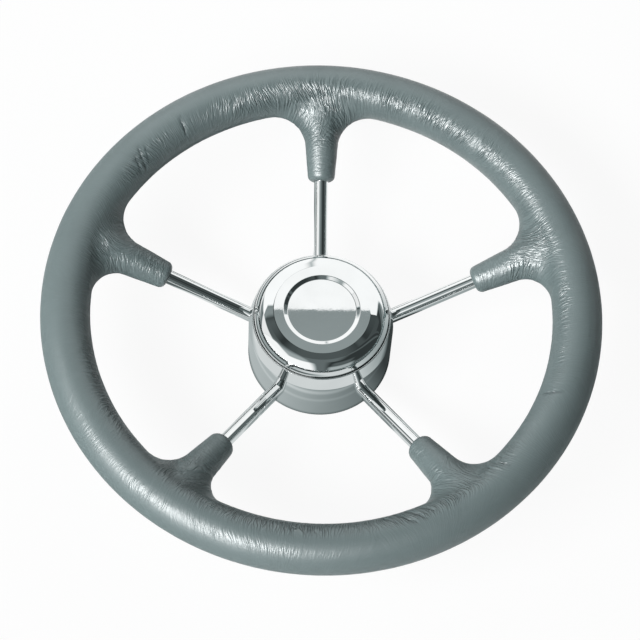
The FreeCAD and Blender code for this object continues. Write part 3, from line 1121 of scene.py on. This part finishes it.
class WHEEL_OT_cap(bpy.types.Operator):
    """Build the centre cap with its plain recess"""
    bl_idname = "wheel.cap"
    bl_label = "Centre cap"

    def execute(self, context):
        hub = context.scene.wheel_hub
        floor = CAP_HEIGHT - RECESS_DEPTH
        recess = hub.recess_diameter / 2
        fall = math.tan(CAP_FALL)
        shoulder = CAP_HEIGHT - (CAP_RADIUS - CAP_FLAT_RADIUS) * fall
        skirt = CAP_RADIUS - SKIRT_THICKNESS
        underside = floor - CAP_THICKNESS
        inner_corner = shoulder - CAP_THICKNESS
        inner_flat = skirt - (underside - inner_corner) / fall
        groove = CAP_RADIUS + CAP_CLEARANCE - RING_GROOVE_DEPTH
        groove_foot = LEDGE_HEIGHT + RING_ABOVE_LEDGE - RING_GROOVE_WIDTH / 2
        groove_top = groove_foot + RING_GROOVE_WIDTH
        corners = [
            (0, underside, 0),
            (inner_flat, underside, 0),
            (skirt, inner_corner, CAP_INNER_ROUNDING),
            (skirt, LEDGE_HEIGHT, 0),
            (CAP_RADIUS, LEDGE_HEIGHT, 0),
            (CAP_RADIUS, groove_foot, 0),
            (groove, groove_foot, 0),
            (groove, groove_top, 0),
            (CAP_RADIUS, groove_top, 0),
            (CAP_RADIUS, shoulder, CAP_SHOULDER_ROUNDING),
            (CAP_FLAT_RADIUS, CAP_HEIGHT, CAP_FLAT_ROUNDING),
            (recess, CAP_HEIGHT, RECESS_ROUNDING),
            (recess - RECESS_SLOPE, floor, RECESS_ROUNDING),
            (0, floor, 0),
        ]
        mesh = turned_mesh("cap_shell", corners, hub.steps)
        material = shared_polish(context.scene.wheel_steel)
        add_piece("cap_shell", mesh, material, "polished_steel", "centre_cap")
        return {"FINISHED"}


class WHEEL_OT_inner_pieces(bpy.types.Operator):
    """Finish the plate, the boss, the grip's core and the rubber ring, whose solids are kept"""
    bl_idname = "wheel.inner_pieces"
    bl_label = "Inner pieces"

    def execute(self, context):
        steel = context.scene.wheel_steel
        turned = turned_material(steel)
        rubber = rubber_material(steel)
        finishes = {"rim_core": turned, "base_plate": turned, "hub_boss": turned, "cap_ring": rubber}
        for node, material in finishes.items():
            piece = frame["nodes"][node]
            piece.data.materials.clear()
            piece.data.materials.append(material)
        return {"FINISHED"}


# Cards and walls of the studio that the steel mirrors: from and to in degrees over the top
# (0 is the front, 180 the back), from and to across (-1 is left, 1 right), softness of the
# ends in degrees and of the sides, how far the right side leans out per degree, and how
# light it is
STUDIO_CARDS = [
    (116.2, 200, -0.04, 0.42, 0.02, 0.04, 0.0115, 1.16),
    (119.5, 200, -0.70, -0.04, 1.0, 0.05, 0, 1.2),
    (151, 200, -1.4, -0.62, 5, 0.08, 0, 1.0),
    (134, 151, 0.50, 0.95, 7, 0.06, 0, 0.36),
    (128, 155, -1.4, -0.66, 4, 0.06, 0, 0.28),
    (106, 118, -0.05, 0.30, 3, 0.04, 0, 0.37),
    (114, 120, -0.62, -0.27, 2, 0.07, 0, 0.32),
    (92, 114, -0.62, -0.27, 4, 0.07, 0, 0.12),
    (88, 124, -1.4, -0.64, 3, 0.05, 0, 1.0),
    (-60, 89.5, -1.4, -0.50, 1.5, 0.08, 0, 1.15),
    (-60, 92, -1.4, -0.14, 14, 0.08, 0, 0.45),
    (-60, 64, -1.4, -0.12, 7, 0.10, 0, 1.2),
    (8, 36, 0.16, 0.66, 9, 0.08, 0, 0.52),
    (-60, 30, -1.4, 1.4, 8, 0.10, 0, 0.15),
    (-60, 84, -0.30, 0.14, 12, 0.10, 0, 0.18),
    (122.5, 134, 0.38, 1.0, 2, 0.06, 0, 0.15),
    (100, 118, 0.34, 0.75, 4, 0.06, 0, 0.085),
    (82, 104, -0.24, 0.30, 10, 0.14, 0, 0.11),
    (70, 91, -0.24, 0.30, 3, 0.14, 0, 0.18),
    (87, 94, 0.20, 1.0, 2, 0.10, 0, 0.13),
    (99, 104, 0.20, 1.0, 2, 0.10, 0, 0.09),
    (38, 62, 0.20, 0.60, 8, 0.08, 0, 0.13),
]
DARK_ROOM = 0.045
WHITE = (1, 1, 1)


def background(tree, colour, strength=1.0):
    """Light of the world, plain or linked."""
    node = add_node(tree, "ShaderNodeBackground")
    fill_in(tree, node, "Color", colour)
    fill_in(tree, node, "Strength", strength)
    return node.outputs[0]


def glow(tree, colour, strength=1.0):
    """Light that a surface gives off, plain or linked."""
    node = add_node(tree, "ShaderNodeEmission")
    fill_in(tree, node, "Color", colour)
    fill_in(tree, node, "Strength", strength)
    return node.outputs[0]


def fill_in(tree, node, key, value):
    """Links a socket to a node's input, or sets the input to a number or a colour."""
    if isinstance(value, bpy.types.NodeSocket):
        tree.links.new(value, node.inputs[key])
    elif isinstance(value, (int, float)):
        node.inputs[key].default_value = value
    else:
        node.inputs[key].default_value = (*value, 1)


def chosen(tree, factor, first, second):
    """First shader where a factor is 0, second where it is 1."""
    node = add_node(tree, "ShaderNodeMixShader")
    for index, socket in enumerate((factor, first, second)):
        tree.links.new(socket, node.inputs[index])
    return node.outputs[0]


def card_light(tree, parts, over, card):
    """Light of one card of the studio."""
    low, high, left, right, softness, side_softness, lean, level = card
    leant = maths(tree, "SUBTRACT", parts["X"], times(tree, maths(tree, "SUBTRACT", over, low), lean))
    light = times(tree, window(tree, over, low, high, softness),
                  ramp(tree, parts["X"], left - side_softness, left + side_softness))
    light = times(tree, light, ramp(tree, leant, right + side_softness, right - side_softness))
    return times(tree, light, level)


def studio_world(stage):
    """White for the camera, dim light all round, and a studio of cards for the steel."""
    world = bpy.data.worlds.new("studio")
    bpy.context.scene.world = world
    world.use_nodes = True
    tree = world.node_tree
    tree.nodes.clear()
    parts = parts_of(tree, add_node(tree, "ShaderNodeTexCoord").outputs["Generated"])
    over = maths(tree, "DEGREES", maths(tree, "ARCTAN2", parts["Z"], times(tree, parts["Y"], -1.0)))
    light = DARK_ROOM
    for card in STUDIO_CARDS:
        light = maths(tree, "MAXIMUM", light, card_light(tree, parts, over, card))
    path = add_node(tree, "ShaderNodeLightPath").outputs
    room = background(tree, between(tree, light, stage.shade_tint, WHITE), light)
    shown = chosen(tree, path["Is Glossy Ray"], background(tree, stage.ambient), room)
    shown = chosen(tree, path["Is Camera Ray"], shown, background(tree, WHITE))
    add_node(tree, "ShaderNodeOutputWorld", {"Surface": shown})


# Floor as the steel mirrors it. It is darker near the hub, where two thin rings are lighter,
# and under the rim's left half. A side runs from -1 at the left to 1 at the right, and behind
# from -1 in front to 1 at the back.
NEAR_FLOOR_END = (71 * MM, 76 * MM)
# Sides, and the light that the floor by the hub has more or less there
NEAR_LEFT, NEAR_RIGHT = (-0.7, 0.20), (0.75, -0.14)
# From and to, and the share of the light at each
NEAR_FAR_RIGHT = (0.75, 0.97, 1, 0.25)
FAR_RIGHT = (0.6, 0.98, 1, 0.5)
FAR_BEHIND = (-0.1, 0.35, 1, 1.4)
# Inner and outer radius of the rings, their softness and what they add to the light
FLOOR_RINGS = [(60 * MM, 62 * MM, 1.0 * MM, 0.5), (55 * MM, 56.5 * MM, 0.8 * MM, 0.22)]
DRUM_SHADE, DRUM_SHADE_WIDTH = 0.3, 2 * MM
UNDER_RIM = (104 * MM, 162 * MM, 8 * MM)
UNDER_RIM_SIDE = (30 * MM, -50 * MM)
UNDER_RIM_SHADE = 0.85
LEFT_OF_RIM = (150 * MM, 170 * MM)
LEFT_SIDE = (-0.2, -0.8)
LEFT_SHADE = 0.45
# How white the camera sees the floor, the rest of which keeps the wheel's shadow
FLOOR_WHITENESS = 0.93


def shaded(tree, light, where, share):
    """Light less a share of itself somewhere."""
    return times(tree, light, maths(tree, "SUBTRACT", 1.0, times(tree, where, share)))


def near_floor_light(tree, stage, side, reach):
    """How light the floor by the hub looks in the steel."""
    left, left_extra = NEAR_LEFT
    right, right_extra = NEAR_RIGHT
    light = scaled_range(tree, side, left, right, stage.floor_near_light + left_extra,
                         stage.floor_near_light + right_extra)
    light = times(tree, light, scaled_range(tree, side, *NEAR_FAR_RIGHT))
    shade_end = DRUM_RADIUS + DRUM_SHADE_WIDTH
    light = times(tree, light, scaled_range(tree, reach, DRUM_RADIUS, shade_end, DRUM_SHADE, 1))
    rings = 1
    for low, high, softness, extra in FLOOR_RINGS:
        rings = plus(tree, times(tree, window(tree, reach, low, high, softness), extra), rings)
    return times(tree, light, rings)


def far_floor_light(tree, stage, parts, side, reach):
    """How light the open floor looks in the steel."""
    behind = maths(tree, "DIVIDE", parts["Y"], reach)
    light = times(tree, scaled_range(tree, side, *FAR_RIGHT), stage.floor_far_light)
    light = times(tree, light, scaled_range(tree, behind, *FAR_BEHIND))
    under = times(tree, window(tree, reach, *UNDER_RIM), ramp(tree, parts["X"], *UNDER_RIM_SIDE))
    left = times(tree, ramp(tree, reach, *LEFT_OF_RIM), ramp(tree, side, *LEFT_SIDE))
    return shaded(tree, shaded(tree, light, under, UNDER_RIM_SHADE), left, LEFT_SHADE)


def floor_material(stage):
    """Pale floor, white to the camera apart from a faint shadow, and shaded for the steel."""
    material = bpy.data.materials.new("pale_floor")
    material.use_nodes = True
    tree = material.node_tree
    tree.nodes.clear()
    parts = parts_of(tree, place(tree))
    reach = from_axis(tree, parts)
    side = maths(tree, "DIVIDE", parts["X"], reach)
    light = add_node(tree, "ShaderNodeMix", {
        "Factor": scaled_range(tree, reach, *NEAR_FLOOR_END, 0, 1),
        "A": near_floor_light(tree, stage, side, reach),
        "B": far_floor_light(tree, stage, parts, side, reach)}, data_type="FLOAT").outputs["Result"]
    mirrored = glow(tree, between(tree, light, stage.shade_tint, WHITE), light)
    matt = add_node(tree, "ShaderNodeBsdfDiffuse", values={"Color": (*stage.floor_colour, 1)}).outputs[0]
    path = add_node(tree, "ShaderNodeLightPath").outputs
    shown = chosen(tree, times(tree, path["Is Camera Ray"], FLOOR_WHITENESS), matt, glow(tree, WHITE))
    shown = chosen(tree, path["Is Glossy Ray"], shown, mirrored)
    add_node(tree, "ShaderNodeOutputMaterial", {"Surface": shown})
    return material


# Lamps: where they stand from the wheel's middle, how far off, and how wide and high they are,
# in metres
KEY_WAY = Vector((-0.565, -0.476, 0.67)).normalized()
KEY_DISTANCE, KEY_WIDTH, KEY_HEIGHT = 7.2, 5.6, 2.0
SHEEN_WAY = Vector((-0.51, -0.54, 0.67)).normalized()
SHEEN_DISTANCE, SHEEN_WIDTH, SHEEN_HEIGHT = 7.2, 4.4, 3.8
FILL_WAY = Vector((-0.1, 0.8, 0.55)).normalized()
FILL_DISTANCE, FILL_WIDTH, FILL_HEIGHT = 0.6, 0.5, 0.5
# Floor, from the wheel's axis to its sides and below the wheel
FLOOR_REACH = 4.0
FLOOR_GAP = 0.3 * MM
# Camera: the sensor in millimetres, and the range that it sees in metres
SENSOR_WIDTH = 36.0
NEAREST_SEEN, FURTHEST_SEEN = 0.05, 20.0


def lit_things():
    """Collection of what the lamps shine on: all but the mirror-bright steel, which sees only the cards."""
    things = bpy.data.collections.get("lit_things")
    if things is None:
        things = bpy.data.collections.new("lit_things")
        for thing in bpy.context.scene.objects:
            if thing.type == "MESH" and POLISHED not in thing.data.materials:
                things.objects.link(thing)
    return things


def add_lamp(name, way, distance, width, height, power, only_sheen=False):
    """Soft lamp that points at the wheel's middle. It may add to the sheen alone."""
    lamp = bpy.data.lights.new(name, "AREA")
    lamp.shape = "RECTANGLE"
    lamp.size = width
    lamp.size_y = height
    lamp.energy = power
    holder = bpy.data.objects.new(name, lamp)
    bpy.context.scene.collection.objects.link(holder)
    holder.location = Vector((0, 0, RIM_HEIGHT)) + way * distance
    holder.rotation_mode = "QUATERNION"
    holder.rotation_quaternion = (-way).to_track_quat("-Z", "Y")
    holder.visible_diffuse = not only_sheen
    holder.light_linking.receiver_collection = lit_things()


def add_floor(stage):
    """Pale floor just below the wheel."""
    corners = [(-FLOOR_REACH, -FLOOR_REACH, 0), (FLOOR_REACH, -FLOOR_REACH, 0),
               (FLOOR_REACH, FLOOR_REACH, 0), (-FLOOR_REACH, FLOOR_REACH, 0)]
    floor = bpy.data.objects.new("floor", mesh_from("floor", corners, [[0, 1, 2, 3]]))
    floor.data.materials.append(floor_material(stage))
    floor.location.z = -FLOOR_GAP
    bpy.context.scene.collection.objects.link(floor)


def add_camera(stage):
    """Camera that looks down on the wheel from the front."""
    camera = bpy.data.objects.new("camera", bpy.data.cameras.new("camera"))
    bpy.context.scene.collection.objects.link(camera)
    camera.data.lens = stage.lens
    camera.data.sensor_width = SENSOR_WIDTH
    camera.data.clip_start = NEAREST_SEEN
    camera.data.clip_end = FURTHEST_SEEN
    sight = Vector(stage.camera_aim) - Vector(stage.camera_place)
    level = sight.to_track_quat("-Z", "Y").to_matrix()
    turn = level @ Matrix.Rotation(stage.camera_roll, 3, "Z")
    camera.matrix_world = Matrix.Translation(stage.camera_place) @ turn.to_4x4()
    bpy.context.scene.camera = camera


class WHEEL_OT_stage(bpy.types.Operator):
    """Set up the camera, the lamps and the pale floor"""
    bl_idname = "wheel.stage"
    bl_label = "Stage"

    def execute(self, context):
        stage = context.scene.wheel_stage
        context.scene.view_settings.view_transform = "Standard"
        studio_world(stage)
        add_floor(stage)
        add_lamp("key_lamp", KEY_WAY, KEY_DISTANCE, KEY_WIDTH, KEY_HEIGHT, stage.key_power)
        add_lamp("sheen_lamp", SHEEN_WAY, SHEEN_DISTANCE, SHEEN_WIDTH, SHEEN_HEIGHT,
                 stage.sheen_power, only_sheen=True)
        add_lamp("fill_lamp", FILL_WAY, FILL_DISTANCE, FILL_WIDTH, FILL_HEIGHT, stage.fill_power)
        add_camera(stage)
        return {"FINISHED"}


OPERATORS = [
    WHEEL_OT_grip,
    WHEEL_OT_spokes,
    WHEEL_OT_drum,
    WHEEL_OT_cap,
    WHEEL_OT_inner_pieces,
    WHEEL_OT_stage,
]
SETTINGS = {
    "wheel_grip": GripSettings,
    "wheel_steel": SteelSettings,
    "wheel_hub": HubSettings,
    "wheel_stage": StageSettings,
}


class WHEEL_PT_sidebar(bpy.types.Panel):
    """Sidebar panel of the wheel"""
    bl_idname = "WHEEL_PT_sidebar"
    bl_label = "Boat Steering Wheel"
    bl_space_type = "VIEW_3D"
    bl_region_type = "UI"
    bl_category = "Wheel"

    def draw(self, context):
        for name, group in SETTINGS.items():
            box = self.layout.box()
            for key in group.__annotations__:
                box.prop(getattr(context.scene, name), key)
        for operator in OPERATORS:
            self.layout.operator(operator.bl_idname)


def register():
    """Make the settings, operators and panel known to Blender."""
    for name, group in SETTINGS.items():
        bpy.utils.register_class(group)
        setattr(bpy.types.Scene, name, bpy.props.PointerProperty(type=group))
    for operator in OPERATORS:
        bpy.utils.register_class(operator)
    bpy.utils.register_class(WHEEL_PT_sidebar)


def unregister():
    """Take them away again."""
    bpy.utils.unregister_class(WHEEL_PT_sidebar)
    for operator in reversed(OPERATORS):
        bpy.utils.unregister_class(operator)
    for name, group in SETTINGS.items():
        delattr(bpy.types.Scene, name)
        bpy.utils.unregister_class(group)


def main():
    """Build the wheel and its stage."""
    register()
    bpy.ops.wheel.grip()
    bpy.ops.wheel.spokes()
    bpy.ops.wheel.drum()
    bpy.ops.wheel.cap()
    bpy.ops.wheel.inner_pieces()
    bpy.ops.wheel.stage()


if __name__ == "__main__":
    main()
